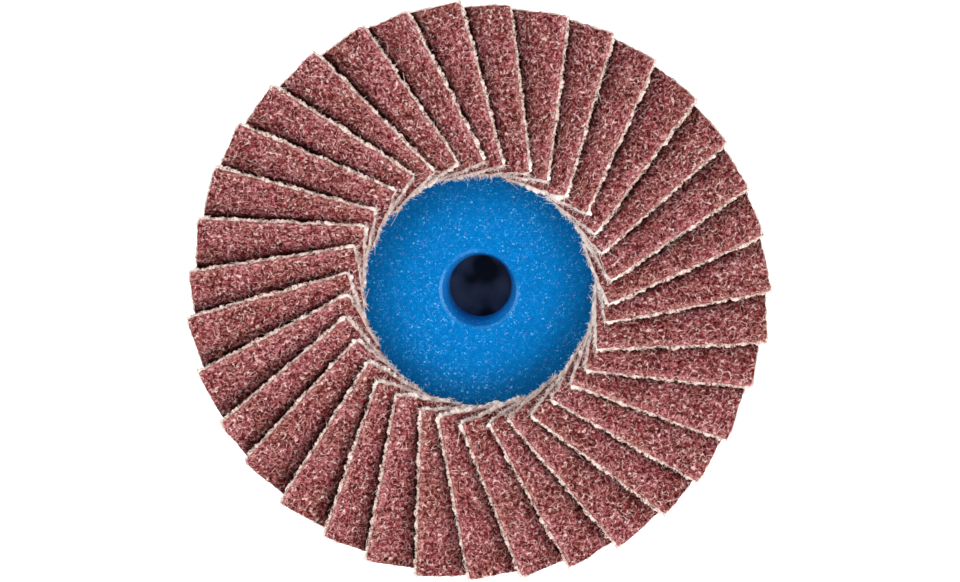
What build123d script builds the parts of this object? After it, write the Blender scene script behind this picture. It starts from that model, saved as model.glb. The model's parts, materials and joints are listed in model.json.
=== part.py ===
from build123d import *
import os
from math import asin, cos, degrees, radians, sin, tan

# A 50 mm quick-change flap disc, resting on its hub with the abrasive side up.
# Origin: on the axis, in the plane of the hub's back face. +Z points out of the abrasive side.

# ---- flaps: rectangles of resin-bonded abrasive cloth, laid like roof tiles round the plate ----
flap_count = 35
flap_width = 8.0  # across the flap, from its bedded edge up to its free edge
flap_length = 14.5  # along the radius
flap_thickness = 0.72  # cloth and grain together
flap_start_radius = 10.0  # from the axis to the middle of the inner end
free_edge_offset = 5.3  # plan distance of the free edge from the flap's own radius line
first_flap_angle = 94.9  # direction of flap_01, counter-clockwise from +X
lay_gap = 0.05  # air between neighbours at their inner ends
rim_gap = 0.9  # air between neighbours at the rim, where they fan open
angle_stray = 0.3  # how far a flap strays from even spacing, in degrees
radius_stray = 0.14  # how far a flap strays along its radius
cut_stray = 0.28  # how far a flap is cut wide or narrow at either end

# ---- backing plate: one moulding of glass-filled nylon ----
boss_gap = 0.12  # air between the raised centre and the flaps' inner ends
flange_radius = 20.6
flange_thickness = 3.0  # at the root, beside the hub
flange_edge_thickness = 2.2
rim_chamfer = 0.6
seat_height = 9.6  # level of the channel floor that the bond lies on
channel_lip_width = 0.8  # low lip that keeps the bond on the plate
channel_lip_height = 0.22
face_height = 10.5  # level of the raised centre
face_edge_chamfer = 0.3
bore_radius = 2.66  # at the bottom of the front recess
bore_draft = 7.0  # degrees
mouth_chamfer = 0.15
hub_radius = 8.6
hub_edge_chamfer = 0.5
rib_count = 10
rib_thickness = 1.3
rib_foot = 1.4  # level of a rib's foot on the hub
rib_end_gap = 2.0  # from a rib's end to the flange's edge

# ---- bond: the resin bed that holds the flaps ----
bond_under_flap = 0.3
bond_height = 0.8
bond_inset = 0.15  # air between the bond and the lip of its channel

# ---- threaded insert, moulded into the hub ----
insert_height = 6.2
insert_across_flats = 8.8  # hexagonal body that keys it against turning
insert_web = 0.8  # solid end that closes the thread towards the front
thread_minor_radius = 2.55
thread_mouth_chamfer = 0.75
collar_radius = 5.7
collar_height = 1.1
groove_radius = 3.9  # waist that keys it against pulling out
groove_start = 2.6
groove_end = 4.0


def stray(index, turn):
    """An uneven but repeatable number between -1 and 1 for each flap."""
    return sin(turn * (index + 1))


def lay_angle(index):
    """Direction of a flap: an even step clockwise, with a small stray."""
    return first_flap_angle - 360 / flap_count * index + angle_stray * stray(index, 2.4)


def flap_tilt(radius, gap):
    """Tilt at which flaps at the closest spacing clear each other by the gap at this radius."""
    spacing = 2 * radius * tan(radians(closest_pitch) / 2)
    return degrees(asin((flap_thickness + gap) / spacing))


def flap_end(angle, radius, tilt, width):
    """Plane at the middle of a flap's end face: x runs up across the flap, z away from the axis."""
    outward = Vector(cos(radians(angle)), sin(radians(angle)), 0)
    clockwise = Vector(sin(radians(angle)), -cos(radians(angle)), 0)
    up = Vector(0, 0, 1)
    across = clockwise * cos(radians(tilt)) + up * sin(radians(tilt))
    normal = up * cos(radians(tilt)) - clockwise * sin(radians(tilt))
    bedded_corner = (
        outward * radius
        + clockwise * (free_edge_offset - flap_width * cos(radians(tilt)))
        + up * (seat_height + bond_under_flap)
    )
    centre = bedded_corner + across * (width / 2) + normal * (flap_thickness / 2)
    return Plane(origin=centre, x_dir=across, z_dir=outward)


lay_angles = [lay_angle(index) for index in range(flap_count)]
pitches = [(lay_angles[index - 1] - lay_angles[index]) % 360 for index in range(flap_count)]
closest_pitch = min(pitches)
inner_tilt = flap_tilt(flap_start_radius - radius_stray, lay_gap)
rim_tilt = flap_tilt(flap_start_radius + flap_length, rim_gap)

os.makedirs("parts", exist_ok=True)

# ---- flaps: each is a strip that lies flatter towards the rim ----
flaps = []
for index in range(flap_count):
    start = flap_start_radius + radius_stray * stray(index, 3.7)
    end = flap_start_radius + flap_length + radius_stray * stray(index, 5.1)
    inner_width = flap_width + cut_stray * stray(index, 1.9)
    rim_width = flap_width + cut_stray * stray(index, 4.4)
    with BuildPart() as flap:
        with BuildSketch(flap_end(lay_angles[index], start, inner_tilt, inner_width)):
            Rectangle(inner_width, flap_thickness)
        with BuildSketch(flap_end(lay_angles[index], end, rim_tilt, rim_width)):
            Rectangle(rim_width, flap_thickness)
        loft(ruled=True)
    flap.part.label = f"flap_{index + 1:02d}"
    flaps.append(flap.part)

# ---- threaded insert: collar, hexagonal body, waist, blind bore ----
with BuildPart() as threaded_insert:
    with BuildSketch(Plane.XY):
        RegularPolygon(insert_across_flats / 2, 6, major_radius=False)
    extrude(amount=insert_height)
    with BuildSketch(Plane.XY):
        Circle(collar_radius)
    extrude(amount=collar_height)
    with BuildSketch(Plane.XY.offset(groove_start)):
        Circle(collar_radius)
        Circle(groove_radius, mode=Mode.SUBTRACT)
    extrude(amount=groove_end - groove_start, mode=Mode.SUBTRACT)
    insert_body = threaded_insert.part
    with BuildSketch(Plane.XY):
        Circle(thread_minor_radius)
    extrude(amount=insert_height - insert_web, mode=Mode.SUBTRACT)
    mouth = threaded_insert.edges().filter_by(GeomType.CIRCLE).group_by(Axis.Z)[0].sort_by(SortBy.RADIUS)[0]
    chamfer(mouth, length=thread_mouth_chamfer)
threaded_insert.part.label = "threaded_insert"

# ---- backing plate: hub, flange with gussets under it, raised centre with a blind recess ----
boss_radius = flap_start_radius - radius_stray - boss_gap
channel_radius = flange_radius - channel_lip_width
flange_root = seat_height - flange_thickness
flange_edge = seat_height - flange_edge_thickness
bore_top_radius = bore_radius + (face_height - mouth_chamfer - insert_height) * tan(radians(bore_draft))
mouth_radius = bore_top_radius + mouth_chamfer
with BuildPart() as backing_plate:
    with BuildSketch(Plane.XZ):
        with BuildLine():
            Polyline(
                (mouth_radius, face_height),
                (boss_radius - face_edge_chamfer, face_height),
                (boss_radius, face_height - face_edge_chamfer),
                (boss_radius, seat_height),
                (channel_radius, seat_height),
                (channel_radius, seat_height + channel_lip_height),
                (flange_radius, seat_height + channel_lip_height),
                (flange_radius, flange_edge + rim_chamfer),
                (flange_radius - rim_chamfer, flange_edge),
                (hub_radius, flange_root),
                (hub_radius, hub_edge_chamfer),
                (hub_radius - hub_edge_chamfer, 0),
                (0, 0),
                (0, insert_height),
                (bore_radius, insert_height),
                (bore_top_radius, face_height - mouth_chamfer),
                close=True,
            )
        make_face()
    revolve(axis=Axis.Z)
    # gussets, sunk a little into the hub and the flange so that each joins them all along
    rib_reach = flange_radius - rib_end_gap
    for turn in range(rib_count):
        with BuildSketch(Plane.XZ.rotated((0, 0, 360 / rib_count * turn))):
            with BuildLine():
                Polyline(
                    (hub_radius - hub_edge_chamfer, rib_foot),
                    (hub_radius, rib_foot),
                    (rib_reach, flange_edge),
                    (rib_reach, seat_height - flange_edge_thickness / 2),
                    (hub_radius - hub_edge_chamfer, seat_height - flange_edge_thickness / 2),
                    close=True,
                )
            make_face()
        extrude(amount=rib_thickness / 2, both=True)
    add(insert_body, mode=Mode.SUBTRACT)
backing_plate.part.label = "backing_plate"

# ---- bond: a flat ring, moulded round the flaps' bedded edges ----
with BuildPart() as bond:
    with BuildSketch(Plane.XY.offset(seat_height)):
        Circle(channel_radius - bond_inset)
        Circle(boss_radius, mode=Mode.SUBTRACT)
    extrude(amount=bond_height)
    for flap_solid in flaps:
        add(flap_solid, mode=Mode.SUBTRACT)
bond.part.label = "bond"

export_step(backing_plate.part, "parts/backing_plate.step")
export_step(threaded_insert.part, "parts/threaded_insert.step")
export_step(bond.part, "parts/bond.step")
for flap_solid in flaps:
    export_step(flap_solid, f"parts/{flap_solid.label}.step")
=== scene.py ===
"""Dressed model of a 50 mm quick-change flap disc, built round its solid model.

The disc lies on its hub with the abrasive side up. Sizes here are in millimetres and
become metres when a mesh is made.
"""

import json
import logging
from collections.abc import Callable, Mapping, Sequence
from dataclasses import dataclass, field
from enum import Enum
from functools import partial
from math import cos, pi, radians, sin

import bpy
import numpy as np
from bpy.types import Node, NodeSocket, NodeTree, Object
from mathutils import Matrix, Vector
from numpy.typing import ArrayLike

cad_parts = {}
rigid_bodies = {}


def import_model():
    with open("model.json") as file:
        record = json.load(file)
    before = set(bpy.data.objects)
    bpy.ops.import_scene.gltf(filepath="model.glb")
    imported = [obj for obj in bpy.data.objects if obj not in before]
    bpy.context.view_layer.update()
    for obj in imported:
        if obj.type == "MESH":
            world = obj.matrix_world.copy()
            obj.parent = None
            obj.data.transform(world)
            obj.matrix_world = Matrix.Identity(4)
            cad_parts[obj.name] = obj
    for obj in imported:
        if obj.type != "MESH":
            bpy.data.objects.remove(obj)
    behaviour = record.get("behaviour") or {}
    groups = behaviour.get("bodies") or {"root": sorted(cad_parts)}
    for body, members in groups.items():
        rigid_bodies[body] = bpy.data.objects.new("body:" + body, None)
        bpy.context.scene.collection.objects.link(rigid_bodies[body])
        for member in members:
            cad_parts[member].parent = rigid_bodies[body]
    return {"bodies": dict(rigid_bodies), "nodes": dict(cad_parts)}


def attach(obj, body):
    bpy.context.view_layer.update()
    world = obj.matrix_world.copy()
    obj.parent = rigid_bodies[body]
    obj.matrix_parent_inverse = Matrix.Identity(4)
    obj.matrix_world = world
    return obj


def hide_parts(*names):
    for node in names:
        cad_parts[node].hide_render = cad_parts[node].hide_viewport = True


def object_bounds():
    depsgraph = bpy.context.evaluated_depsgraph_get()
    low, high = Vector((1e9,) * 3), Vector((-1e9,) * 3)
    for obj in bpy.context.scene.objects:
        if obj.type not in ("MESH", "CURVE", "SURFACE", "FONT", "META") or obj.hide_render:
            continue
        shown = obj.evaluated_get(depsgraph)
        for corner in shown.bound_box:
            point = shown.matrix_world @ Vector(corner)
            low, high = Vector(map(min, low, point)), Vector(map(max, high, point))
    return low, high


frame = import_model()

SOLID_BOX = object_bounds()
MM = 0.001
BODY = sorted(frame["bodies"])[0]
BAND_RATIO = 6.3  # a wave texture of scale 1 / (ratio * width) has bands about that wide
log = logging.getLogger("flap_disc")

Array = np.ndarray
Source = Node | NodeSocket
AddNode = Callable[..., Node]
Faces = list[tuple[Array, int]]


# ---- colour and nodes ----


def linear(hex_colour: str) -> tuple[float, float, float, float]:
    """Turns an sRGB hex colour into linear light.

    Args:
        hex_colour: A colour such as "#96605F".

    Returns:
        Red, green, blue and an alpha of 1.
    """
    srgb = np.array([int(hex_colour[i : i + 2], 16) for i in (1, 3, 5)]) / 255
    light = np.where(srgb <= 0.04045, srgb / 12.92, ((srgb + 0.055) / 1.055) ** 2.4)
    return (*light.tolist(), 1.0)


def per_metre(width_mm: float) -> float:
    """Gives the scale of a pattern whose features are as wide as this."""
    return 1 / (width_mm * MM)


def add_node(
    tree: NodeTree,
    kind: str,
    inputs: Mapping[str | int, object] | Sequence[object] = (),
    stops: Sequence[tuple[float, str]] = (),
    **settings: object,
) -> Node:
    """Adds a node with its settings and its links.

    Args:
        tree: The node tree that takes the node.
        kind: The node's type name after "ShaderNode".
        inputs: A value to set, a socket to link, or a node whose first live output to link,
            by input name or number, or in the order of the inputs. A map range has its
            value, the range it comes from and the range it goes to.
        stops: Places and hex colours of a colour ramp.
        **settings: Properties of the node.

    Returns:
        The new node.
    """
    node = tree.nodes.new(f"ShaderNode{kind}")
    for name, value in settings.items():
        setattr(node, name, value)
    for name, value in inputs.items() if isinstance(inputs, Mapping) else enumerate(inputs):
        if isinstance(value, Node):
            value = next(socket for socket in value.outputs if socket.enabled)
        if isinstance(value, NodeSocket):
            tree.links.new(value, node.inputs[name])
        else:
            node.inputs[name].default_value = value
    if stops:
        elements = node.color_ramp.elements
        while len(elements) < len(stops):
            elements.new(0.5)
        for element, (place, hex_colour) in zip(elements, stops):
            element.position = place
            element.color = linear(hex_colour)
    return node


def winding_lines(
    add: AddNode, place: Source, scale: float, width: float, falloff: str = "SMOOTHSTEP"
) -> Node:
    """Draws winding lines: 1 on the middle contour of a noise, falling to 0 at the width.

    Args:
        add: Adds a node to the material.
        place: Place in the pattern.
        scale: Windings in a unit of the place.
        width: How far the noise may be from its middle.
        falloff: How the map range blends.

    Returns:
        The lines' strength, from 0 to 1.
    """
    noise = add("TexNoise", {"Vector": place, "Scale": scale, "Detail": 1.0})
    away = add("Math", (noise, 0.5), operation="SUBTRACT")
    away = add("Math", (away,), operation="ABSOLUTE")
    return add("MapRange", (away, 0.0, width, 1.0, 0.0), interpolation_type=falloff)


@dataclass(frozen=True)
class Finish:
    """One surface finish, which becomes one material."""

    name: str = "finish"
    roughness: float = 0.5
    ior: float = 1.5
    metallic: float = 0.0

    def material(self) -> bpy.types.Material:
        """Gives the finish's material and makes it the first time.

        Returns:
            The material, with its nodes in place.
        """
        made = bpy.data.materials.get(self.name)
        if made is not None:
            return made
        made = bpy.data.materials.new(self.name)
        made.use_nodes = True
        made.node_tree.nodes.clear()
        add = partial(add_node, made.node_tree)
        inputs = {"Roughness": self.roughness, "Metallic": self.metallic, **self.pattern(add)}
        if not self.metallic:
            inputs["IOR"] = self.ior
        add("OutputMaterial", {"Surface": add("BsdfPrincipled", inputs)})
        return made

    def pattern(self, add: AddNode) -> dict[str, object]:
        """Gives what the finish's own pattern feeds to the inputs of its shader."""
        raise NotImplementedError


@dataclass(frozen=True)
class AbrasiveGrain(Finish):
    """Red-brown aluminium oxide, about P60, electrostatically strewn on cloth and sized with resin.

    Each grain is 0.25 to 0.3 mm. Short pale curls are painted on as highlights where their
    broken crystal edges would catch the light, a few grains are ruby red, and the resin
    between the grains stays dark brown.
    Grains lie closer in some patches of about a millimetre than in others, and their tone
    and warmth drift a little over about three. They are lighter towards the flap's free
    edge. Under the edge of the flap above, painted shade dulls their curls and painted
    shadow darkens the grain in clumps, fuller in some stretches than in others.
    """

    name: str = "abrasive_grain_p60"
    roughness: float = 0.7
    ior: float = 1.6
    gloss: float = 0.03
    grain_mm: float = 0.30
    patch_mm: float = 1.1
    patch_share: float = 0.16
    drift_mm: float = 3.2
    facet_scale: float = 1.35
    facet_width: float = 0.09
    facet_share: float = 0.17
    curl_scale: float = 0.56
    curl_width: float = 0.048
    curl_breaks: tuple[float, float] = (0.38, 0.60)
    # How much painted shade dulls the curls under the edge of the flap above.
    curl_shade: float = 0.65
    ruby_share: float = 0.2
    free_edge_lift_mm: float = 0.55
    free_edge_lift_gain: float = 0.08
    # Span from the edge of the flap above, and inward fade, of the painted shade there.
    edge_mm: tuple[float, float] = (0.3, 0.85)
    inner_mm: tuple[float, float] = (0.3, 4.0)
    # These five numbers shape the painted shadow: dark clumps put under the edge of the flap above.
    shadow_clump_mm: float = 0.45
    shadow_cut: tuple[float, float] = (0.58, 0.65)
    shadow_pull: float = 0.26
    stretch_mm: float = 1.9
    stretch_share: float = 0.55

    def pattern(self, add: AddNode) -> dict[str, object]:
        """Draws the grains, painted-highlight curls along their edges, the ruby grains and painted shadow."""
        where = add("TexCoord").outputs["Object"]
        at_grain = add("VectorMath", {0: where, "Scale": per_metre(self.grain_mm)}, operation="SCALE")
        lay = add("Attribute", attribute_name="lay").outputs["Vector"]
        lay = add("SeparateXYZ", (lay,))
        lumps = add("TexNoise", {"Vector": at_grain, "Scale": 1.0, "Detail": 3.0, "Roughness": 0.68})
        grain = self.grains(add, at_grain, lumps, lay.outputs["Y"])
        fade = (lay.outputs["Z"], *self.edge_mm, 1.0, 0.0)
        near = add("MapRange", fade, interpolation_type="SMOOTHSTEP")
        inward = add("MapRange", (lay.outputs["X"], *self.inner_mm))
        under = add("Math", (near, inward), operation="MULTIPLY")
        # The curls are painted highlights, dulled by painted shade under the edge of the flap above.
        curls = self.curls(add, at_grain, under)
        cells = add("TexVoronoi", {"Vector": at_grain, "Scale": 0.8})
        lot = add("SeparateColor", (cells.outputs["Color"],))
        chosen = add("Math", (lot, 1 - self.ruby_share), operation="GREATER_THAN")
        core = add("MapRange", (cells, 0.25, 0.5, 0.7, 0.0))
        ruby = add("Math", (chosen, core), operation="MULTIPLY")
        # Painted shadow: the grain is darkened in clumps where the flap above keeps the light off.
        painted_shadow = self.painted_shadow_clumps(add, where, under)
        colour = grain
        # The pale curls are painted highlights; the dark red-brown multiplied in is painted shadow.
        tints = (curls, "#F3CDC7", "MIX"), (ruby, "#861B2B", "MIX"), (painted_shadow, "#4A1410", "MULTIPLY")
        for share, tint, blend in tints:
            colour = add("Mix", {0: share, 6: colour, 7: linear(tint)}, data_type="RGBA", blend_type=blend)
        heights = add("Math", (curls, 0.5, lumps), operation="MULTIPLY_ADD")
        bump = add("Bump", {"Height": heights, "Strength": 0.85, "Distance": 0.2 * MM})
        return {"Base Color": colour, "Normal": bump, "Specular IOR Level": self.gloss}

    def grains(self, add: AddNode, at_grain: Source, lumps: Source, from_edge: Source) -> Node:
        """Colours the grains: lumps toned by patches, facets and a lift near the free edge, times the drift.

        Args:
            add: Adds a node to the material.
            at_grain: Place, in grain widths.
            lumps: The noise of single grains.
            from_edge: Distance from the free edge, in millimetres.

        Returns:
            The colour.
        """
        patch = add("TexNoise", {"Vector": at_grain, "Scale": self.grain_mm / self.patch_mm})
        facets = winding_lines(add, at_grain, self.facet_scale, self.facet_width)
        toned = lumps
        for source, share in ((patch, self.patch_share), (facets, self.facet_share)):
            centred = add("Math", (source, 0.5), operation="SUBTRACT")
            toned = add("Math", (centred, share, toned), operation="MULTIPLY_ADD")
        # The grain is made lighter towards the flap's free edge.
        fade = (from_edge, 0.0, self.free_edge_lift_mm, self.free_edge_lift_gain, 0.0)
        free_edge_lift = add("MapRange", fade, interpolation_type="SMOOTHSTEP")
        toned = add("Math", (toned, free_edge_lift), operation="ADD")
        browns = (0.33, "#350D0D"), (0.41, "#632526"), (0.49, "#894748"), (0.58, "#AC696A"), (0.74, "#D69E9C")
        grain = add("ValToRGB", (toned,), stops=browns)
        drift = add("TexNoise", {"Vector": at_grain, "Scale": self.grain_mm / self.drift_mm, "Detail": 1.0})
        drift = add("ValToRGB", (drift,), stops=((0.37, "#EBEADD"), (0.63, "#FFF9FF")))
        return add("Mix", {0: 1.0, 6: grain, 7: drift}, data_type="RGBA", blend_type="MULTIPLY")

    def curls(self, add: AddNode, at_grain: Source, under: Source) -> Node:
        """Paints highlight curls: winding lines broken by a second noise, dulled as shade under an edge.

        Args:
            add: Adds a node to the material.
            at_grain: Place, in grain widths.
            under: Nearness to the edge of the flap above.

        Returns:
            The curls' strength, from 0 to 1.
        """
        line = winding_lines(add, at_grain, self.curl_scale, self.curl_width)
        broken = add("TexNoise", {"Vector": at_grain, "Scale": 0.95, "Detail": 0.0})
        kept = add("MapRange", (broken, *self.curl_breaks))
        # Painted shade: the curls are dimmed near the edge of the flap above.
        lit = add("Math", (under, -self.curl_shade, 1.0), operation="MULTIPLY_ADD")
        kept = add("Math", (kept, lit), operation="MULTIPLY")
        return add("Math", (line, kept), operation="MULTIPLY")

    def painted_shadow_clumps(self, add: AddNode, where: Source, under: Source) -> Node:
        """Paints shadow under the flap above's edge: clumps of noise and a slow noise, cut where the edge is
        near.

        Args:
            add: Adds a node to the material.
            where: Place, in metres.
            under: Nearness to the edge of the flap above.

        Returns:
            The painted shadow's strength, from 0 to 1.
        """
        clumps = add("TexNoise", {"Vector": where, "Scale": per_metre(self.shadow_clump_mm), "Detail": 2.0})
        stretch = add("TexNoise", {"Vector": where, "Scale": per_metre(self.stretch_mm), "Detail": 0.0})
        stretch = add("Math", (stretch, 0.5), operation="SUBTRACT")
        clumps = add("Math", (stretch, self.stretch_share, clumps), operation="MULTIPLY_ADD")
        held = add("Math", (under, self.shadow_pull, clumps), operation="MULTIPLY_ADD")
        cut = add("MapRange", (held, *self.shadow_cut, 0.0, 0.99))
        return add("Math", (cut, under), operation="MULTIPLY")


@dataclass(frozen=True)
class CottonCloth(Finish):
    """Undyed cotton twill: cream and matt, fuzzy where it is cut, resin-brown on its back.

    The abrasive dust of cutting stays in the cut as brown specks. There is less of it at
    the inner ends, which are never ground, and a little less at the rim. The inner ends are
    also painted paler, most on one side of the disc, as painted light.
    """

    name: str = "cotton_twill_cream"
    roughness: float = 0.92
    ior: float = 1.45
    gloss: float = 0.1
    thread_mm: float = 0.34
    thread_share: float = 0.12
    dust_mm: float = 0.18
    unground_mm: float = 1.4
    # Direction, span and gain of the paler inner ends: less dust there, plus painted light on one side.
    lit_side: tuple[float, float, float] = (0.94, 0.34, 0.0)
    lit_side_mm: tuple[float, float] = (6.0, 10.5)
    inner_dust_and_light_gain: tuple[float, float] = (0.12, 0.5)
    rim_mm: tuple[float, float] = (13.8, 14.2)
    rim_gain: float = 0.1
    back_height: tuple[float, float] = (0.02, 0.15)

    def pattern(self, add: AddNode) -> dict[str, object]:
        """Draws the twill's slanted threads along the flap, dust and the back's size coat."""
        lay = add("Attribute", attribute_name="lay").outputs["Vector"]
        weave = {"Vector": lay, "Scale": 1 / (self.thread_mm * BAND_RATIO)}
        weave |= {"Distortion": 1.2, "Detail": 2.0, "Detail Scale": 3.0}
        twill = add("TexWave", weave, wave_type="BANDS", bands_direction="DIAGONAL").outputs["Fac"]
        where = add("TexCoord").outputs["Object"]
        dust = {"Vector": where, "Scale": per_metre(self.dust_mm), "Detail": 3.0, "Roughness": 0.7}
        mixed = add("Math", (twill, self.thread_share, add("TexNoise", dust)), operation="MULTIPLY_ADD")
        split = add("SeparateXYZ", (lay,))
        along, height = split.outputs["X"], split.outputs["Z"]
        unground = add("MapRange", (along, 0.0, self.unground_mm, 1.0, 0.0))
        # Less dust at the inner ends together with painted light: they are paler, most on one side.
        side = add("VectorMath", (where, self.lit_side), operation="DOT_PRODUCT")
        low, high = self.lit_side_mm
        inner_dust_and_light = add("MapRange", (side, low * MM, high * MM, *self.inner_dust_and_light_gain))
        mixed = add("Math", (unground, inner_dust_and_light, mixed), operation="MULTIPLY_ADD")
        at_rim = add("MapRange", (along, *self.rim_mm, 0.0, self.rim_gain))
        mixed = add("Math", (mixed, at_rim), operation="ADD")
        creams = (0.40, "#56362E"), (0.49, "#B28B80"), (0.57, "#E1CAC0"), (0.76, "#FAEFE8")
        cotton = add("ValToRGB", (mixed,), stops=creams)
        back = add("MapRange", (height, *self.back_height, 1.0, 0.0))
        sized = add("Mix", {0: twill, 6: linear("#5E3A2A"), 7: linear("#8A6048")}, data_type="RGBA")
        colour = add("Mix", {0: back, 6: cotton, 7: sized}, data_type="RGBA")
        bump = add("Bump", {"Height": mixed, "Strength": 0.6, "Distance": 0.08 * MM})
        return {"Base Color": colour, "Normal": bump, "Specular IOR Level": self.gloss}


@dataclass(frozen=True)
class GlassFilledNylon(Finish):
    """Blue injection-moulded nylon with chopped glass: satin, with short pale fibres at its skin.

    It is painted darker from the middle outwards, as painted shade from the wall of flaps
    round it. The recess's wall is painted bright, as painted light inside the recess, and
    its lip is painted a little paler here and there, as painted highlights on its edge.
    """

    name: str = "glass_filled_nylon_blue"
    roughness: float = 0.22
    ior: float = 1.53
    gloss: float = 0.09
    # Span and strength of the painted shade that darkens the blue towards the wall of flaps.
    flap_wall_shade_mm: tuple[float, float] = (5.5, 10.0)
    flap_wall_shade_strength: float = 0.45
    fibre_mm: float = 0.25
    fibre_width: float = 0.03
    fibre_cut: tuple[float, float] = (0.94, 1.28)
    flow_mm: float = 6.0
    flow_share: float = 0.9
    mottle_mm: float = 0.2
    # Radius inside which the recess's wall is painted bright, as painted light.
    bore_mm: float = 3.19
    # Where and how strongly the lip is painted paler, as painted highlights.
    lip_mm: float = 3.5
    lip_blend_mm: float = 0.08
    lip_highlight_cut: tuple[float, float] = (0.46, 0.62)
    lip_highlight_strength: float = 0.22

    def pattern(self, add: AddNode) -> dict[str, object]:
        """Draws fibres, a few tinted, over a fine mottle, painted shade near the flaps and painted light on
        wall and lip.
        """
        where = add("TexCoord").outputs["Object"]
        line = winding_lines(add, where, per_metre(self.fibre_mm), self.fibre_width, "LINEAR")
        cells = add("TexVoronoi", {"Vector": where, "Scale": per_metre(0.8 * self.fibre_mm)})
        lot = add("SeparateColor", (cells.outputs["Color"],))
        flow = add("TexNoise", {"Vector": where, "Scale": per_metre(self.flow_mm)})
        share = add("Math", (flow, self.flow_share, lot.outputs["Red"]), operation="MULTIPLY_ADD")
        kept = add("MapRange", (share, *self.fibre_cut))
        fibres = add("Math", (line, kept), operation="MULTIPLY")
        mottle = {"Vector": where, "Scale": per_metre(self.mottle_mm), "Detail": 3.0, "Roughness": 0.7}
        blues = (0.34, "#0062A4"), (0.50, "#006BB2"), (0.68, "#0079C4")
        blue = add("ValToRGB", (add("TexNoise", mottle),), stops=blues)
        flat = add("VectorMath", (where, (1, 1, 0)), operation="MULTIPLY")
        off_axis = add("VectorMath", (flat,), operation="LENGTH")
        # Painted shade: the blue darkens outwards towards the wall of flaps round the face.
        start, end = self.flap_wall_shade_mm
        spread = (off_axis, start * MM, end * MM, 0.0, self.flap_wall_shade_strength)
        flap_wall_shade = add("MapRange", spread, interpolation_type="SMOOTHSTEP")
        blue = add("Mix", {0: flap_wall_shade, 6: blue, 7: linear("#003A68")}, data_type="RGBA")
        # Painted light: the recess's wall is painted bright blue where it would lie in shade.
        wall = add("Math", (off_axis, self.bore_mm * MM), operation="LESS_THAN")
        blue = add("Mix", {0: wall, 6: blue, 7: linear("#027AC6")}, data_type="RGBA")
        # Painted highlight: patches of the lip are painted paler, standing in for light on its edge.
        inside = (self.lip_mm - self.lip_blend_mm) * MM
        lip = add("MapRange", (off_axis, inside, self.lip_mm * MM, 1.0, 0.0))
        lip_highlight_patches = add("MapRange", (flow, *self.lip_highlight_cut, 0.0, self.lip_highlight_strength))
        lip = add("Math", (lip, lip_highlight_patches), operation="MULTIPLY")
        face = add("Math", (1.0, wall), operation="SUBTRACT")
        lip = add("Math", (lip, face), operation="MULTIPLY")
        blue = add("Mix", {0: lip, 6: blue, 7: linear("#7ABBE6")}, data_type="RGBA")
        tints = (0.0, "#2198E8"), (0.50, "#3FAEF2"), (0.82, "#8ED4FB"), (0.94, "#7676DA")
        glass = add("ValToRGB", (lot.outputs["Green"],), stops=tints)
        colour = add("Mix", {0: fibres, 6: blue, 7: glass}, data_type="RGBA")
        bump = add("Bump", {"Height": fibres, "Strength": 0.2, "Distance": 0.02 * MM})
        return {"Base Color": colour, "Normal": bump, "Specular IOR Level": self.gloss}


@dataclass(frozen=True)
class BlackenedSteel(Finish):
    """Turned steel with a black oxide coat: near black, with soft uneven reflections."""

    name: str = "black_oxide_steel"
    roughness: float = 0.34
    metallic: float = 1.0
    turning_mm: float = 0.12
    blotch_mm: float = 3.2

    def pattern(self, add: AddNode) -> dict[str, object]:
        """Draws oxide blotches and turning marks."""
        where = add("TexCoord").outputs["Object"]
        blotches = add("TexNoise", {"Vector": where, "Scale": per_metre(self.blotch_mm), "Detail": 1.5})
        blacks = (0.42, "#1A1F2E"), (0.50, "#343E57"), (0.62, "#454F68")
        colour = add("ValToRGB", (blotches,), stops=blacks)
        marks = {"Vector": where, "Scale": per_metre(self.turning_mm * BAND_RATIO), "Distortion": 0.4}
        turning = add("TexWave", marks, wave_type="RINGS", rings_direction="Z").outputs["Fac"]
        bump = add("Bump", {"Height": turning, "Strength": 0.15, "Distance": 0.01 * MM})
        return {"Base Color": colour, "Normal": bump}


@dataclass(frozen=True)
class CuredResin(Finish):
    """Epoxy bed, dull red-brown, with the small waves it sets with."""

    name: str = "cured_epoxy"
    roughness: float = 0.5
    ior: float = 1.55
    wave_mm: float = 0.8

    def pattern(self, add: AddNode) -> dict[str, object]:
        """Draws mottling and set waves."""
        where = add("TexCoord").outputs["Object"]
        waves = add("TexNoise", {"Vector": where, "Scale": per_metre(self.wave_mm), "Detail": 3.0})
        colour = add("ValToRGB", (waves,), stops=((0.3, "#3B1A12"), (0.7, "#6A3A29")))
        bump = add("Bump", {"Height": waves, "Strength": 0.5, "Distance": 0.1 * MM})
        return {"Base Color": colour, "Normal": bump}


# ---- uneven numbers ----


def hashed(a: Array, b: Array | float, seed: float) -> Array:
    """Gives an uneven but repeatable number from 0 to 1 for each pair of whole numbers."""
    return np.modf(np.abs(np.sin(a * 127.1 + b * 311.7 + seed * 74.7) * 43758.5453))[0]


def wander(at: Array, seed: float) -> Array:
    """Smooth noise from -1 to 1 along a line: hashed whole places joined by 3t^2 - 2t^3.

    Args:
        at: Places along the line; the noise changes about once per unit.
        seed: Which noise to give.

    Returns:
        The noise at each place.
    """
    whole = np.floor(at)
    part = at - whole
    ease = part * part * (3 - 2 * part)
    here, there = hashed(whole, 0.0, seed), hashed(whole + 1, 0.0, seed)
    return 2 * (here + (there - here) * ease) - 1


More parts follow.
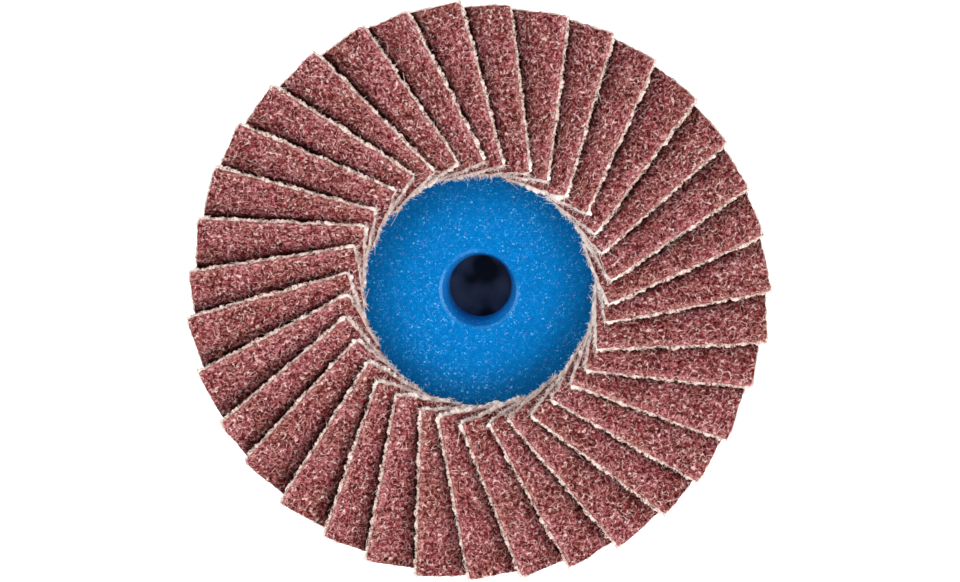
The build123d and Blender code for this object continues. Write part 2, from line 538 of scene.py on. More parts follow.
def grains(x: Array, y: Array, size: float, seed: float) -> Array:
    """Height of round grains strewn one to a square of the given size.

    At each point it is the highest of 1 - (distance / radius)^2 over the nine nearest
    grains, and no less than 0.

    Args:
        x: Places along the sheet.
        y: Places across the sheet.
        size: Side of a square.
        seed: Which strewing to give.

    Returns:
        Heights from 0 to 1.
    """
    column, row = np.floor(x / size), np.floor(y / size)
    height = np.zeros(np.broadcast(x, y).shape)
    for step_x, step_y in np.ndindex(3, 3):
        a, b = column + (step_x - 1), row + (step_y - 1)
        centre_x = (a + hashed(a, b, seed)) * size
        centre_y = (b + hashed(a, b, seed + 1)) * size
        radius = size * (0.45 + 0.5 * hashed(a, b, seed + 2))
        peak = 0.45 + 0.55 * hashed(a, b, seed + 3)
        bump = peak * (1 - ((x - centre_x) ** 2 + (y - centre_y) ** 2) / radius**2)
        height = np.maximum(height, bump)
    return height


# ---- meshes ----


def add_object(name: str, data: bpy.types.ID) -> Object:
    """Puts a mesh, lamp or camera into the scene.

    Args:
        name: The object's name.
        data: What the object shows.

    Returns:
        The object.
    """
    made = bpy.data.objects.new(name, data)
    bpy.context.scene.collection.objects.link(made)
    return made


@dataclass
class Draft:
    """One piece's closed shells, gathered in millimetres before they become a mesh."""

    points: list[Array] = field(default_factory=list)
    lays: list[Array] = field(default_factory=list)
    faces: Faces = field(default_factory=list)
    count: int = 0

    def add(self, points: Array, faces: Faces, lay: Array | None = None) -> None:
        """Adds a closed shell and turns its faces outwards.

        The shell's volume is the sum of a.(b x c) / 6 over its triangles, so a negative
        sum means that the faces point inwards.

        Args:
            points: Corners, one row each.
            faces: Arrays of faces with equal numbers of corners, and each array's finish.
            lay: Place in the uncut cloth, one row for each corner; the corners if not given.
        """
        points = points.reshape(-1, 3)
        volume = 0.0
        for group, _ in faces:
            for corner in range(1, group.shape[1] - 1):
                a, b, c = (points[group[:, k]] for k in (0, corner, corner + 1))
                volume += float(np.einsum("ij,ij->", a, np.cross(b, c)))
        for group, finish in faces:
            turned = group[:, ::-1] if volume < 0 else group
            self.faces.append((turned + self.count, finish))
        self.points.append(points)
        self.lays.append(points if lay is None else lay.reshape(-1, 3))
        self.count += len(points)

    def build(self, name: str, finishes: Sequence[Finish], sharp: float) -> Object:
        """Makes the object.

        Args:
            name: The object's name.
            finishes: The finishes, in the order of their numbers in the faces.
            sharp: Angle in degrees past which an edge stays sharp.

        Returns:
            The object, in the scene.
        """
        mesh = bpy.data.meshes.new(name)
        points = np.concatenate(self.points) * MM
        mesh.vertices.add(len(points))
        mesh.vertices.foreach_set("co", points.astype(np.float32).ravel())
        corners = np.concatenate([group.ravel() for group, _ in self.faces])
        totals = np.concatenate([np.full(len(group), group.shape[1]) for group, _ in self.faces])
        numbers = np.concatenate([np.full(len(group), finish) for group, finish in self.faces])
        mesh.loops.add(len(corners))
        mesh.loops.foreach_set("vertex_index", corners.astype(np.int32))
        mesh.polygons.add(len(totals))
        starts = np.cumsum(totals) - totals
        for trait, values in (("loop_start", starts), ("loop_total", totals), ("material_index", numbers)):
            mesh.polygons.foreach_set(trait, values.astype(np.int32))
        mesh.update(calc_edges=True)
        lay = mesh.attributes.new("lay", "FLOAT_VECTOR", "POINT")
        lay.data.foreach_set("vector", np.concatenate(self.lays).astype(np.float32).ravel())
        for finish in finishes:
            mesh.materials.append(finish.material())
        mesh.shade_smooth()
        mesh.set_sharp_from_angle(angle=radians(sharp))
        return add_object(name, mesh)


def lattice(rows: int, columns: int, wrap_rows: bool = False, wrap_columns: bool = False) -> Array:
    """Quads of a grid whose corner (r, c) is number r * columns + c.

    Args:
        rows: Number of rows of corners.
        columns: Number of corners in a row.
        wrap_rows: Whether the last row joins the first.
        wrap_columns: Whether the last column joins the first.

    Returns:
        One row of four corners for each quad.
    """
    r = np.arange(rows if wrap_rows else rows - 1)[:, None]
    c = np.arange(columns if wrap_columns else columns - 1)[None, :]
    r2, c2 = (r + 1) % rows, (c + 1) % columns
    quads = [r * columns + c, r * columns + c2, r2 * columns + c2, r2 * columns + c]
    return np.stack([np.broadcast_to(q, (r.shape[0], c.shape[1])) for q in quads], -1).reshape(-1, 4)


def about_z(radius: Array, angle: Array, z: Array) -> Array:
    """Gives points by their distance from Z, direction and height."""
    return np.stack(np.broadcast_arrays(radius * np.cos(angle), radius * np.sin(angle), z), -1)


def strands(
    paths: Array, side: Array, radii: Array, sides: int, flatten: float = 1.0
) -> tuple[Array, list[Array]]:
    """Carries a many-sided section along each of several paths.

    A corner is path + radius * (cos(a) * side + flatten * sin(a) * (tangent x side)).

    Args:
        paths: Places, by strand, step and axis.
        side: A direction square to the paths, of the same shape.
        radii: Radius, by strand, step and corner of the section (the last may be 1).
        sides: Corners of the section.
        flatten: Height of the section as a share of its width.

    Returns:
        The corners, and the faces: walls, first ends and last ends.
    """
    count, steps, _ = paths.shape
    tangent = np.gradient(paths, axis=1)
    tangent /= np.linalg.norm(tangent, axis=2, keepdims=True) + 1e-12
    side = side - tangent * np.sum(side * tangent, axis=2, keepdims=True)
    side /= np.linalg.norm(side, axis=2, keepdims=True) + 1e-12
    other = np.cross(tangent, side) * flatten
    angle = (np.arange(sides) * 2 * pi / sides)[None, None, :, None]
    ring = np.cos(angle) * side[:, :, None] + np.sin(angle) * other[:, :, None]
    corners = paths[:, :, None] + ring * radii[..., None]
    start = (np.arange(count) * steps * sides)[:, None, None]
    walls = (start + lattice(steps, sides, wrap_columns=True)[None]).reshape(-1, 4)
    first = (start[:, 0] + np.arange(sides)[::-1][None]).reshape(-1, sides)
    last = (start[:, 0] + (steps - 1) * sides + np.arange(sides)[None]).reshape(-1, sides)
    return corners, [walls, first, last]


# ---- flaps ----

USUAL_LEAN = 24.0  # degrees; near enough to any flap's to tell its eight corners apart


class Edge(Enum):
    """The three cut edges of a flap that show. Their numbers also seed their noise."""

    FREE = 1
    INNER = 2
    RIM = 3


@dataclass(frozen=True)
class Fray:
    """How one edge is frayed."""

    radius: float
    steps: int
    threads: int
    start: float


FRAYS = {
    Edge.FREE: Fray(radius=0.178, steps=200, threads=150, start=0.0),
    Edge.INNER: Fray(radius=0.2, steps=130, threads=220, start=0.25),
    Edge.RIM: Fray(radius=0.08, steps=50, threads=30, start=0.25),
}


def solid_corners(node: str) -> tuple[Array, tuple[Array, Array, Array]]:
    """Finds the eight corners of a flap's solid, each the furthest along its own diagonal.

    Args:
        node: The solid's name.

    Returns:
        The corners by end (inner, rim), edge (bedded, free) and face (cloth, grain), and
        the directions outwards, up across the flap and out of the grain.
    """
    mesh = frame["nodes"][node].data
    solid = np.empty(len(mesh.vertices) * 3, np.float32)
    mesh.vertices.foreach_get("co", solid)
    solid = solid.reshape(-1, 3).astype(float) / MM
    middle = solid.mean(0)
    outward = np.array([middle[0], middle[1], 0.0]) / np.hypot(middle[0], middle[1])
    clockwise = np.array([outward[1], -outward[0], 0.0])
    lean = radians(USUAL_LEAN)
    across = clockwise * cos(lean) + np.array([0, 0, sin(lean)])
    normal = np.array([0, 0, cos(lean)]) - clockwise * sin(lean)
    corners = np.empty((2, 2, 2, 3))
    for end, edge, face in np.ndindex(2, 2, 2):
        towards = (2 * end - 1) * outward + (2 * edge - 1) * across + (2 * face - 1) * normal
        corners[end, edge, face] = solid[np.argmax(solid @ towards)]
    return corners, (outward, across, normal)


@dataclass
class Flap:
    """One flap: a sheet of coated cloth with frayed edges, fitted to its solid's eight corners.

    x runs along the radius from the inner end, y runs from the bedded edge up to the free
    edge, and the height h runs from 0 at the cloth to 1 at the grain. The attribute "lay"
    holds x, the distance from the free edge, and a third number: h on the cloth, and on the
    grain the distance in plan from the free edge of the flap above.
    """

    node: str
    above: str
    seed: int
    rows: int = 116
    hidden_columns: int = 5
    shown_columns: int = 46
    hidden_share: float = 0.1
    tucked_under: float = 0.5
    tucked_back: float = 0.4
    cloth_share: float = 0.62
    grain_mm: float = 0.30
    grain_height: float = 0.07
    grain_sink: float = 0.06
    roll_off: float = 0.05
    roll_off_span: float = 0.1
    shown_blend: float = 0.3
    fuzz: float = 0.05
    fuzz_wave: float = 0.14
    edge_wear: float = 0.06
    wear_waves: tuple[float, float] = (1.3, 0.24)
    fray_waves: tuple[float, float] = (1.1, 0.22)
    corner_wear: float = 0.12
    nick_depth: float = 0.14
    free_reach: float = 0.3
    rim_reach: float = 0.35
    roll_level: float = 0.38
    roll_end: float = 0.985
    tuft_height: float = 0.06
    least_radius: float = 0.04
    thread_level: float = 0.45
    thread_radius: float = 0.026
    thread_length: float = 0.17

    def __post_init__(self) -> None:
        """Finds the corners of the solid and of the flap above, and the flap's own directions."""
        self.corners, (self.outward, self.across, self.normal) = solid_corners(self.node)
        self.edge_above = solid_corners(self.above)[0][:, 1, 1, :2]
        self.length = float(np.linalg.norm(self.corners[1, 0, 0] - self.corners[0, 0, 0]))
        self.width = float(np.linalg.norm(self.corners[0, 1, 0] - self.corners[0, 0, 0]))
        over = self.clear(self.corners[:, :, 1, :2])
        self.hidden = self.width * over[:, 0] / (over[:, 0] - over[:, 1]) - self.tucked_under
        self.dice = np.random.default_rng(1000 + self.seed)
        self.nick_place = self.length * (0.25 + 0.7 * self.lot(1.0))
        self.nick_size = self.nick_depth * self.lot(2.0) ** 2

    def lot(self, which: float) -> float:
        """Gives one of the flap's own uneven numbers, from 0 to 1."""
        return float(hashed(np.array(self.seed), which, 5.0))

    def clear(self, points: Array) -> Array:
        """Distance in plan of points from the free edge of the flap above, under 0 beneath it."""
        line = self.edge_above[1] - self.edge_above[0]
        line /= np.linalg.norm(line)
        return (points[..., :2] - self.edge_above[0]) @ np.array([line[1], -line[0]])

    def place(self, x: Array, y: Array, h: Array | float) -> Array:
        """Point of the sheet: the eight corners weighted by x, y and h in turn (trilinear).

        Args:
            x: Distance from the inner end.
            y: Distance from the bedded edge.
            h: Height from 0 to 1.

        Returns:
            The points, one more axis than x.
        """
        shares = np.broadcast_arrays(x / self.length, y / self.width, h)
        s, q, h = (np.asarray(share, float)[..., None] for share in shares)
        faces = []
        for corners in np.moveaxis(self.corners, 2, 0):
            bedded, free = (corners[0, edge] * (1 - s) + corners[1, edge] * s for edge in (0, 1))
            faces.append(bedded * (1 - q) + free * q)
        return faces[0] * (1 - h) + faces[1] * h

    def wear(self, edge: Edge, at: Array) -> Array:
        """How far an edge is worn back: a base, slow and quick wander, and worn corners.

        The rim's hidden stretch is cut back further, so that it stays under the flap above.

        Args:
            edge: Which edge.
            at: Distance along it, x for the free edge and y for the two ends.

        Returns:
            The wear at each place.
        """
        key = self.seed * 7.0 + edge.value
        rough = 1.6 if edge is Edge.INNER else 1.0
        slow, quick = self.wear_waves
        waves = 0.7 * wander(at / slow, key) + 0.8 * wander(at / quick, key + 0.5)
        base = self.edge_wear * (1.5 + rough * waves)
        if edge is Edge.FREE:
            base = base + self.corner_wear * 0.6 * np.exp(-(((self.length - at) / self.free_reach) ** 2))
            return base + self.nick_size * np.exp(-(((at - self.nick_place) / self.free_reach) ** 2))
        if edge is Edge.RIM:
            base = base + self.tucked_back * np.clip((self.hidden[1] - at) / self.shown_blend, 0, 1)
            return base + self.corner_wear * np.exp(-(((self.width - at) / self.rim_reach) ** 2))
        return base

    def outline(self, s: Array, q: Array) -> tuple[Array, Array]:
        """Sheet coordinates of a share s along and q across the worn sheet.

        x = inner wear + s * (length - both wears). With k the hidden share, the first k of
        q spans the part that the flap above covers, which narrows evenly from hidden[0] at
        the inner end to hidden[1] at the rim, and the rest of q spans the rest.

        Args:
            s: Share of the length.
            q: Share of the width.

        Returns:
            x and y.
        """
        k = self.hidden_share
        hidden = self.hidden[0] + (self.hidden[1] - self.hidden[0]) * s
        spread = np.minimum(q / k, 1) * hidden + np.maximum(q - k, 0) / (1 - k) * (self.width - hidden)
        inner, rim = self.wear(Edge.INNER, spread), self.wear(Edge.RIM, spread)
        x = inner + s * (self.length - inner - rim)
        return x, spread * (1 - self.wear(Edge.FREE, x) / self.width)

    def sheet(self, draft: Draft) -> None:
        """Adds the sheet itself.

        Its section is a closed loop: the grain face from the bedded to the free edge, the
        free edge down, the cloth face back and the bedded edge up. The grain face stands
        grain_height * grains - grain_sink off the flat wherever it shows. Each end has a
        strip of grain layer over a cap of cloth.
        """
        tucked = np.linspace(0, self.hidden_share, self.hidden_columns, endpoint=False)
        top = np.concatenate([tucked, np.linspace(self.hidden_share, 1, self.shown_columns)])
        n = len(top)
        q = np.concatenate([top, [1, 1], [1, 0.5, 0], [0]])
        h = np.concatenate([np.ones(n), [self.cloth_share, 0.3], np.zeros(3), [self.cloth_share]])
        s = np.linspace(0, 1, self.rows)[:, None]
        x, y = self.outline(s, np.broadcast_to(q, (self.rows, len(q))))
        points = self.place(x, y, h[None, :])
        clear = self.clear(points[:, :n])
        shown = np.clip((clear + self.tucked_under) / self.shown_blend, 0, 1)
        from_edge = self.width - self.wear(Edge.FREE, x) - y
        relief = self.grain_height * grains(x[:, :n], y[:, :n], self.grain_mm, self.seed * 11.0)
        rolled = self.roll_off * np.exp(-from_edge[:, :n] / self.roll_off_span)
        relief = relief - self.grain_sink - rolled
        points[:, :n] += self.normal * (relief * shown - self.grain_sink * (1 - shown))[..., None]
        fuzz = self.fuzz * (1 + wander(x[:, n : n + 3] / self.fuzz_wave, self.seed + 0.3))
        points[:, n : n + 3] += self.across * fuzz[..., None]
        third = np.concatenate([clear, np.broadcast_to(h[None, n:], x[:, n:].shape)], 1)
        lay = np.stack([x, from_edge, third], -1)
        size = len(q)
        body = lattice(self.rows, size, wrap_columns=True).reshape(self.rows - 1, size, 4)
        grain = np.concatenate([body[:, :n].reshape(-1, 4), body[:, size - 1]])
        faces = [(grain, 0), (body[:, n : size - 1].reshape(-1, 4), 1)]
        extra_points, extra_lays = [], []
        base = self.rows * size
        for row in (0, self.rows - 1):
            cap_x, cap_y = self.outline(np.full(n - 2, float(row > 0)), top[1:-1])
            extra_points.append(self.place(cap_x, cap_y, self.cloth_share))
            extra_lays.append(np.stack([cap_x, self.width - cap_y, np.full(n - 2, self.cloth_share)], -1))
            line = np.concatenate([[row * size + size - 1], base + np.arange(n - 2), [row * size + n]])
            base += n - 2
            upper = row * size + np.arange(n)
            strip = np.stack([upper[:-1], upper[1:], line[1:], line[:-1]], -1)
            cap = np.concatenate([line[::-1], row * size + np.arange(n + 1, size - 1)[::-1]])[None]
            if row > 0:
                strip, cap = strip[:, ::-1], cap[:, ::-1]
            faces += [(strip, 0), (cap, 1)]
        points = np.concatenate([points.reshape(-1, 3), *extra_points])
        draft.add(points, faces, np.concatenate([lay.reshape(-1, 3), *extra_lays]))

    def edge_line(self, edge: Edge, at: Array, h: float) -> tuple[Array, ...]:
        """Follows a worn edge.

        Args:
            edge: Which edge.
            at: Share of the way along it.
            h: Height in the sheet.

        Returns:
            The points, x and the distances from the free edge.
        """
        if edge is Edge.FREE:
            x = at * self.length
            y = self.width - self.wear(edge, x)
            return self.place(x, y, h), x, np.zeros_like(x)
        y = at * self.width
        x = self.wear(edge, y)
        if edge is Edge.RIM:
            x = self.length - x
        return self.place(x, y, h), x, self.width - y

    def edge_directions(self, edge: Edge) -> tuple[Array, Array]:
        """Directions out of an edge and along it."""
        if edge is Edge.FREE:
            return self.across, self.outward
        return (-self.outward, self.across) if edge is Edge.INNER else (self.outward, self.across)

    def frayed_roll(self, draft: Draft, edge: Edge) -> None:
        """Adds the fuzzy lip of loose cotton along an edge.

        It is a tube whose radius swells and shrinks along the edge, by up to the tuft height
        from one corner of its section to the next, and which is thickest at the flap's inner
        free corner. Its underside has the brown of the cloth's back, which also stands as
        painted shade along the roll's lower side.

        Args:
            draft: The piece.
            edge: Which edge.
        """
        fray, sides = FRAYS[edge], 8
        steps = fray.steps
        at = np.linspace(fray.start, 1 if edge is Edge.FREE else self.roll_end, steps)
        path, x, y = self.edge_line(edge, at, self.roll_level)
        out, _ = self.edge_directions(edge)
        key = self.seed * 13.0 + edge.value
        run = at * (self.length if edge is Edge.FREE else self.width)
        slow, quick = self.fray_waves
        swell = 0.85 + 0.4 * wander(run / slow, key) + 0.5 * wander(run / quick, key + 0.4)
        if edge is not Edge.RIM:
            to_corner = run if edge is Edge.FREE else self.width - run
            swell = swell + 0.2 * np.exp(-((to_corner / 0.7) ** 2))
        radii = fray.radius * np.clip(swell, 0.3, 1.8)
        if edge is Edge.INNER:
            radii = radii * (0.5 + 0.75 * self.lot(3.0))
        ends = np.clip(np.minimum(np.arange(steps), np.arange(steps)[::-1]) / 2, 0.15, 1)
        tufts = 2 * hashed(np.arange(steps)[:, None], np.arange(sides)[None], key + 0.7) - 1
        path = path + out * (radii * 0.35)[:, None]
        side = np.broadcast_to(out, path.shape)
        section = np.maximum(radii[:, None] + self.tuft_height * tufts, self.least_radius)
        corners, faces = strands(path[None], side[None], (section * ends[:, None])[None], sides, 0.9)
        # The underside takes the cloth back's brown, which also paints shade along the roll's lower side.
        brown_shaded_underside = (corners[0] - path[:, None]) @ self.normal < -self.least_radius
        lay = np.stack(np.broadcast_arrays(x[:, None], y[:, None], np.where(brown_shaded_underside, 0.0, 0.3)), -1)
        draft.add(corners, [(group, 1) for group in faces], lay)

    def loose_threads(self, draft: Draft, edge: Edge) -> None:
        """Adds stray fibres: place + t * length * direction + t^2 * length * curl.

        Args:
            draft: The piece.
            edge: Which edge.
        """
        fray, steps = FRAYS[edge], 3
        count, dice = fray.threads, self.dice
        at = dice.uniform(fray.start, 0.995, count)
        root, x, y = self.edge_line(edge, at, self.thread_level)
        out, along = self.edge_directions(edge)
        slant = dice.normal(0, 0.9, count)[:, None]
        lift = dice.uniform(-0.3, 0.6, count)[:, None]
        direction = out * np.cos(slant) + along * np.sin(slant) + self.normal * lift
        curl = along * dice.normal(0, 0.7, count)[:, None] + self.normal * dice.normal(0, 0.3, count)[:, None]
        length = self.thread_length * dice.gamma(2.5, 1 / 2.5, count)[:, None]
        length = np.clip(length, 0.08, 0.75) + fray.radius * 0.8
        t = np.linspace(0, 1, steps)[None, :, None]
        path = root[:, None] + t * (direction * length)[:, None] + t**2 * (curl * length)[:, None]
        radii = self.thread_radius * dice.uniform(0.6, 1.3, count)[:, None]
        radii = radii * np.linspace(1.2, 0.5, steps)[None]
        side = np.broadcast_to(self.normal, path.shape)
        corners, faces = strands(path, side, radii[..., None], 3)
        lay = np.repeat(np.stack([x, y, np.full(count, 0.25)], -1), steps * 3, 0)
        draft.add(corners, [(group, 1) for group in faces], lay)

    def build(self, finishes: Sequence[Finish]) -> Object:
        """Makes the flap's piece.

        Args:
            finishes: Grain and cloth.

        Returns:
            The piece, which stands for its solid.
        """
        draft = Draft()
        self.sheet(draft)
        for edge in Edge:
            self.frayed_roll(draft, edge)
            self.loose_threads(draft, edge)
        piece = draft.build(f"coated_cloth_{self.node}", finishes, 38)
        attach(piece, BODY)
        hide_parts(self.node)
        return piece


@dataclass
class FlapPack:
    """The fan of overlapping flaps."""

    grain: Finish = field(default_factory=AbrasiveGrain)
    cloth: Finish = field(default_factory=CottonCloth)

    def build(self) -> list[Object]:
        """Makes every flap.

        Returns:
            The pieces.
        """
        nodes = sorted(name for name in frame["nodes"] if name.startswith("flap_"))
        flaps = [Flap(node, nodes[index - 1], index) for index, node in enumerate(nodes)]
        return [flap.build((self.grain, self.cloth)) for flap in flaps]


# ---- plate and insert ----


def rounded(corners: Sequence[tuple[float, float, float]], steps: int = 5) -> Array:
    """A section's outline with its corners rounded by quarter-like arcs.

    At a corner B with neighbours A and C and setback d, the arc is the curve
    (1-t)^2 P + 2t(1-t) B + t^2 Q, where P and Q lie d from B towards A and C.

    Args:
        corners: Radius, height and setback of each corner, round a closed loop.
        steps: Points in each rounding.

    Returns:
        Radii and heights, one row each.
    """
    places = np.array([corner[:2] for corner in corners])
    outline = []
    for index, (_, _, setback) in enumerate(corners):
        corner = places[index]
        if setback <= 0:
            outline.append(corner[None])
            continue
        back, ahead = places[index - 1] - corner, places[(index + 1) % len(places)] - corner
        p = corner + back / np.linalg.norm(back) * setback
        q = corner + ahead / np.linalg.norm(ahead) * setback
        t = np.linspace(0, 1, steps)[:, None]
        outline.append((1 - t) ** 2 * p + 2 * t * (1 - t) * corner + t**2 * q)
    return np.concatenate(outline)


def straight(radii: ArrayLike, heights: ArrayLike) -> Array:
    """Gives a straight run of a section: radii and heights, one row each."""
    return np.stack(np.broadcast_arrays(radii, heights), -1)


@dataclass
class BackingPlate:
    """The moulded plate: a ribbed flange on a hub, with a raised centre and a drafted recess."""

    hub_radius: float = 8.6
    flange_radius: float = 20.6
    flange_root: float = 6.6
    flange_edge: float = 7.4
    seat_height: float = 9.6
    lip_width: float = 0.8
    lip_height: float = 0.22
    boss_radius: float = 9.74
    face_height: float = 10.5
    recess_floor: float = 6.2
    recess_floor_radius: float = 2.66
    recess_top_radius: float = 3.17
    mouth_depth: float = 0.15
    mouth_width: float = 0.3
    insert_radius: float = 5.1
    collar_radius: float = 5.71
    collar_height: float = 1.1
    ribs: int = 10
    rib_thickness: float = 1.3
    rib_foot: float = 1.4
    rib_reach: float = 18.6
    skin: Finish = field(default_factory=GlassFilledNylon)

    def section(self) -> Array:
        """The plate's section as radii and heights, from the recess out, under and back."""
        boss, flange, hub = self.boss_radius, self.flange_radius, self.hub_radius
        mouth = self.recess_top_radius + self.mouth_width
        top, seat, edge, root = self.face_height, self.seat_height, self.flange_edge, self.flange_root
        recess = (self.recess_floor_radius, self.recess_floor, 0)
        rim = (self.recess_top_radius, top - self.mouth_depth, 0.06)
        lip = rounded((recess, rim, (mouth, top, 0.08), (boss, top, 0)))[1:-1]
        face = straight(np.linspace(mouth + 0.6, boss - 1, 6), top)
        channel, lip_top = flange - self.lip_width, seat + self.lip_height
        bed = ((boss, top, 0.28), (boss, seat, 0.1), (channel, seat, 0.06), (channel, lip_top, 0.06))
        outside = ((flange, lip_top, 0.12), (flange, edge, 0.55), (self.rib_reach, edge, 0))
        outer = rounded(bed + outside)[:-1]
        slope = (root - edge) / (self.rib_reach - hub)
        under_r = np.linspace(self.rib_reach, hub + 0.35, 12)
        under = straight(under_r, edge + slope * (self.rib_reach - under_r))
        inner = straight((hub + 0.1, hub), (root - 0.1, root - 0.35))
        wall = straight(hub, np.linspace(root - 1.0, self.rib_foot, 6))
        collar, collar_top, body = self.collar_radius, self.collar_height, self.insert_radius
        end = ((hub, self.rib_foot, 0), (hub, 0, 0.45), (collar, 0, 0), (collar, collar_top, 0))
        back = rounded((*end, (body, collar_top, 0), (body, self.recess_floor, 0), recess))[1:]
        return np.concatenate([lip, face, outer, under, inner, wall, back])

    def build(self) -> Object:
        """Makes the plate's piece.

        The section is turned about Z. In a rib's sector, whose half-angle at radius r is
        asin(half thickness / r), the underside is lowered to the rib's slope.

        Returns:
            The piece, which stands for the plate's solid.
        """
        section = self.section()
        radii, heights = section[:, 0], section[:, 1]
        half = np.arcsin(self.rib_thickness / 2 / np.maximum(radii, self.hub_radius))
        pitch = 2 * pi / self.ribs
        sliver = 2e-4
        rib_columns = np.array([-1.0, -1.0, -0.4, 0.4, 1.0, 1.0])
        gap = np.linspace(0, 1, 16)[1:-1]
        offsets = [half * share + sign for share, sign in zip(rib_columns, (-sliver, 0, 0, 0, 0, sliver))]
        offsets += [half + sliver + (pitch - 2 * half - 2 * sliver) * share for share in gap]
        lowered = [False, True, True, True, True, False] + [False] * len(gap)
        sector = np.array(offsets)
        angles = (np.arange(self.ribs)[:, None, None] * pitch + sector[None]).reshape(-1, len(radii))
        down = np.tile(np.array(lowered), self.ribs)[:, None]
        share = np.clip((radii - self.hub_radius) / (self.rib_reach - self.hub_radius), 0, 1)
        rib = self.rib_foot + (self.flange_edge - self.rib_foot) * share
        under = (radii >= self.hub_radius - 1e-6) & (radii <= self.rib_reach) & (heights < self.flange_edge)
        z = np.where(down & under[None], np.minimum(heights, rib)[None], heights[None])
        points = about_z(radii, angles, z)
        faces = lattice(len(angles), len(radii), wrap_rows=True, wrap_columns=True)
        draft = Draft()
        draft.add(points, [(faces, 0)])
        piece = draft.build("nylon_backing_plate", (self.skin,), 34)
        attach(piece, BODY)
        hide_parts("backing_plate")
        return piece


@dataclass
class ThreadedInsert:
    """The steel insert: collar, body and a blind right-hand 1/4-20 thread open at the back."""

    height: float = 6.2
    body_radius: float = 4.4
    collar_radius: float = 5.7
    collar_height: float = 1.1
    minor_radius: float = 2.55
    major_radius: float = 3.175
    pitch: float = 1.27
    thread_depth: float = 5.4
    mouth_chamfer: float = 0.75
    crest: float = 0.25
    flank: float = 0.6
    runout: float = 0.6
    columns: int = 96
    rows: int = 96
    metal: Finish = field(default_factory=BlackenedSteel)

    def build(self) -> Object:
        """Makes the insert's piece.

        The bore's radius at angle a and height z is minor + depth * clip((w - crest) / flank),
        where w is a triangle wave of z / pitch - a / 2 pi. It fades over the last part of a
        turn and is no less than the mouth's chamfer. The rest is a section turned about Z,
        and the poles are closed by discs.

        Returns:
            The piece, which stands for the insert's solid.
        """
        angle = np.arange(self.columns) * 2 * pi / self.columns
        z = np.linspace(0, self.thread_depth, self.rows)[:, None]
        turns = z / self.pitch - angle[None] / (2 * pi)
        wave = 1 - np.abs(2 * (turns - np.floor(turns)) - 1)
        depth = self.major_radius - self.minor_radius
        fade = np.clip((self.thread_depth - z) / (self.runout * self.pitch), 0, 1)
        radius = self.minor_radius + depth * np.clip((wave - self.crest) / self.flank, 0, 1) * fade
        radius = np.maximum(radius, self.minor_radius + self.mouth_chamfer - z)
        bore = about_z(radius, angle, z)
        body, collar, shoulder = self.body_radius, self.collar_radius, self.collar_height
        front = ((0.6, self.height, 0), (body, self.height, 0.2), (body, shoulder, 0))
        outside = rounded((*front, (collar, shoulder, 0.1), (collar, 0, 0.08)))
        points = np.concatenate([about_z(outside[:, :1], angle, outside[:, 1:]), bore])
        count = len(points)
        walls = lattice(count, self.columns, wrap_columns=True)
        top = np.arange(self.columns)[::-1][None]
        floor = (count - 1) * self.columns + np.arange(self.columns)[None]
        draft = Draft()
        draft.add(points, [(walls, 0), (top, 0), (floor, 0)])
        piece = draft.build("steel_threaded_insert", (self.metal,), 30)
        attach(piece, BODY)
        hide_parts("threaded_insert")
        return piece


@dataclass
class ResinBond:
    """The resin bed, whose solid stays as it is and takes its finish."""

    resin: Finish = field(default_factory=CuredResin)

    def dress(self) -> Object:
        """Gives the solid its finish.

        Returns:
            The solid's object.
        """
        bed = frame["nodes"]["bond"]
        bed.data.materials.clear()
        bed.data.materials.append(self.resin.material())
        return bed


# ---- studio ----


@dataclass(frozen=True)
class WhiteFloor(Finish):
    """White paper sweep: it shows as plain white and keeps a trace of the shadow."""

    name: str = "white_paper_floor"
    roughness: float = 0.9
    whitening: float = 0.9

    def pattern(self, add: AddNode) -> dict[str, object]:
        """Mixes in plain white for what the camera sees of the floor, straight or reflected."""
        path = add("LightPath").outputs
        seen = add("Math", (path["Is Camera Ray"], path["Is Glossy Ray"]), operation="MAXIMUM")
        seen = add("Math", (seen, path["Is Transmission Ray"]), operation="MAXIMUM")
        strength = add("Math", (seen, self.whitening), operation="MULTIPLY")
        white = {"Emission Color": (1, 1, 1, 1), "Emission Strength": strength}
        return {"Base Color": linear("#F2F2F2"), **white}


@dataclass(frozen=True)
class Softbox:
    """A square soft light aimed at the disc."""

    name: str
    place: tuple[float, float, float]
    size: float
    watts: float

    def build(self) -> None:
        """Makes the lamp."""
        data = bpy.data.lights.new(self.name, "AREA")
        data.shape = "SQUARE"
        data.size = self.size
        data.energy = self.watts
        lamp = add_object(self.name, data)
        lamp.location = self.place
        lamp.rotation_euler = (-Vector(self.place)).to_track_quat("-Z", "Y").to_euler()


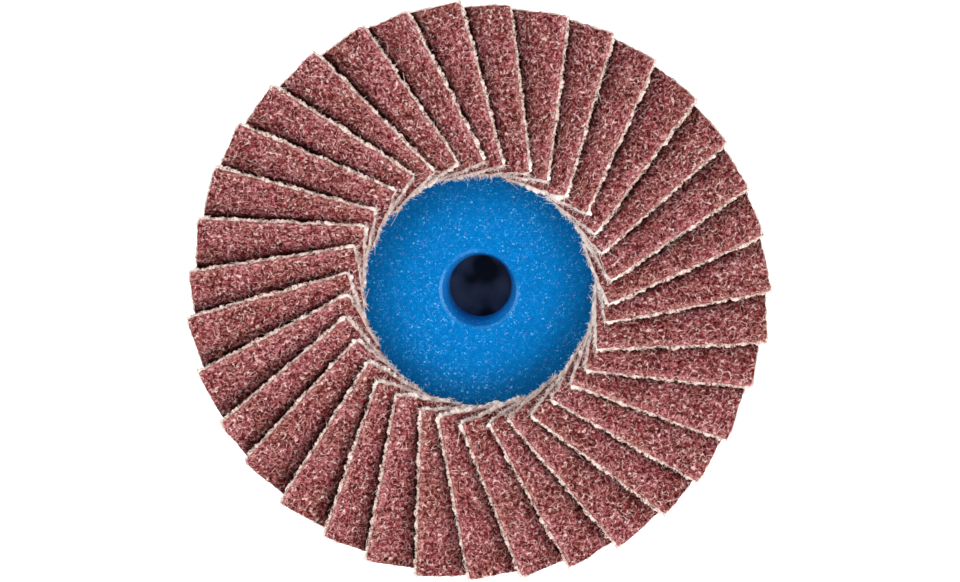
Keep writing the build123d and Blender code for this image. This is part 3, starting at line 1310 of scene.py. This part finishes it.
@dataclass
class Studio:
    """Floor, dome, softboxes and camera. Places are in metres."""

    dome_side: float = 0.68
    dome_top: float = 0.3
    dome_band: tuple[float, float] = (0.3, 0.95)
    floor_half: float = 3.0
    floor_gap: float = 1e-5
    lamps: tuple[Softbox, ...] = (
        Softbox("softbox_left", (-0.75, 0.15, 0.5), 0.45, 4.2),
        Softbox("softbox_right", (0.75, -0.15, 0.5), 0.45, 5.2),
        Softbox("softbox_near", (0.2, -0.72, 0.6), 0.5, 4.2),
        Softbox("softbox_far", (-0.2, 0.74, 0.55), 0.45, 2.0),
    )
    view_lean: float = 5.0
    view_turn: float = 20.0
    distance: float = 0.7
    sensor_mm: float = 36.0
    frame_width: float = 0.0823
    aim: tuple[float, float, float] = (0.00012, 0.0, 0.012)

    def floor(self) -> None:
        """Lays the floor under the disc, as a flat square."""
        mesh = bpy.data.meshes.new("studio_floor")
        half, low = self.floor_half, SOLID_BOX[0][2] - self.floor_gap
        corners = [(-half, -half, low), (half, -half, low), (half, half, low), (-half, half, low)]
        mesh.from_pydata(corners, [], [(0, 1, 2, 3)])
        mesh.materials.append(WhiteFloor().material())
        floor = add_object("studio_floor", mesh)

    def light(self) -> None:
        """Sets the dome and the softboxes."""
        world = bpy.data.worlds.new("studio_dome")
        bpy.context.scene.world = world
        world.use_nodes = True
        world.node_tree.nodes.clear()
        add = partial(add_node, world.node_tree)
        towards = add("TexCoord").outputs["Generated"]
        height = add("SeparateXYZ", (towards,)).outputs["Z"]
        dome = add("MapRange", (height, *self.dome_band, self.dome_side, self.dome_top))
        direct = add("LightPath").outputs["Is Camera Ray"]
        strength = add("Mix", {0: direct, 2: dome, 3: 1.0}, data_type="FLOAT")
        sky = add("Background", {"Color": (1, 1, 1, 1), "Strength": strength})
        add("OutputWorld", {"Surface": sky})
        for lamp in self.lamps:
            lamp.build()

    def camera(self) -> None:
        """Stands the camera almost overhead, leaning a little to the upper right."""
        data = bpy.data.cameras.new("camera")
        data.sensor_width = self.sensor_mm
        data.lens = self.sensor_mm * self.distance / self.frame_width
        data.clip_start = 0.01
        eye = add_object("camera", data)
        lean, turn = radians(self.view_lean), radians(self.view_turn)
        offset = Vector((sin(lean) * sin(turn), sin(lean) * cos(turn), cos(lean))) * self.distance
        ahead = -offset.normalized()
        right = ahead.cross(Vector((0, 1, 0))).normalized()
        above = right.cross(ahead)
        turned = Matrix((right, above, -ahead)).transposed().to_4x4()
        eye.matrix_world = Matrix.Translation(Vector(self.aim) + offset) @ turned
        bpy.context.scene.camera = eye

    def build(self) -> None:
        """Makes the whole studio."""
        bpy.context.scene.view_settings.view_transform = "Standard"
        self.floor()
        self.light()
        self.camera()


def report(piece: Object) -> None:
    """Logs a piece and its number of triangles."""
    faces = piece.data.polygons
    totals = np.empty(len(faces), np.int32)
    faces.foreach_get("loop_total", totals)
    log.info("%s: %d triangles", piece.name, int((totals - 2).sum()))


def main() -> None:
    """Builds the disc and the studio round it."""
    logging.basicConfig(level=logging.INFO, format="%(message)s")
    pieces = [BackingPlate().build(), ThreadedInsert().build(), ResinBond().dress()]
    pieces += FlapPack().build()
    for piece in pieces:
        report(piece)
    Studio().build()


if __name__ == "__main__":
    main()
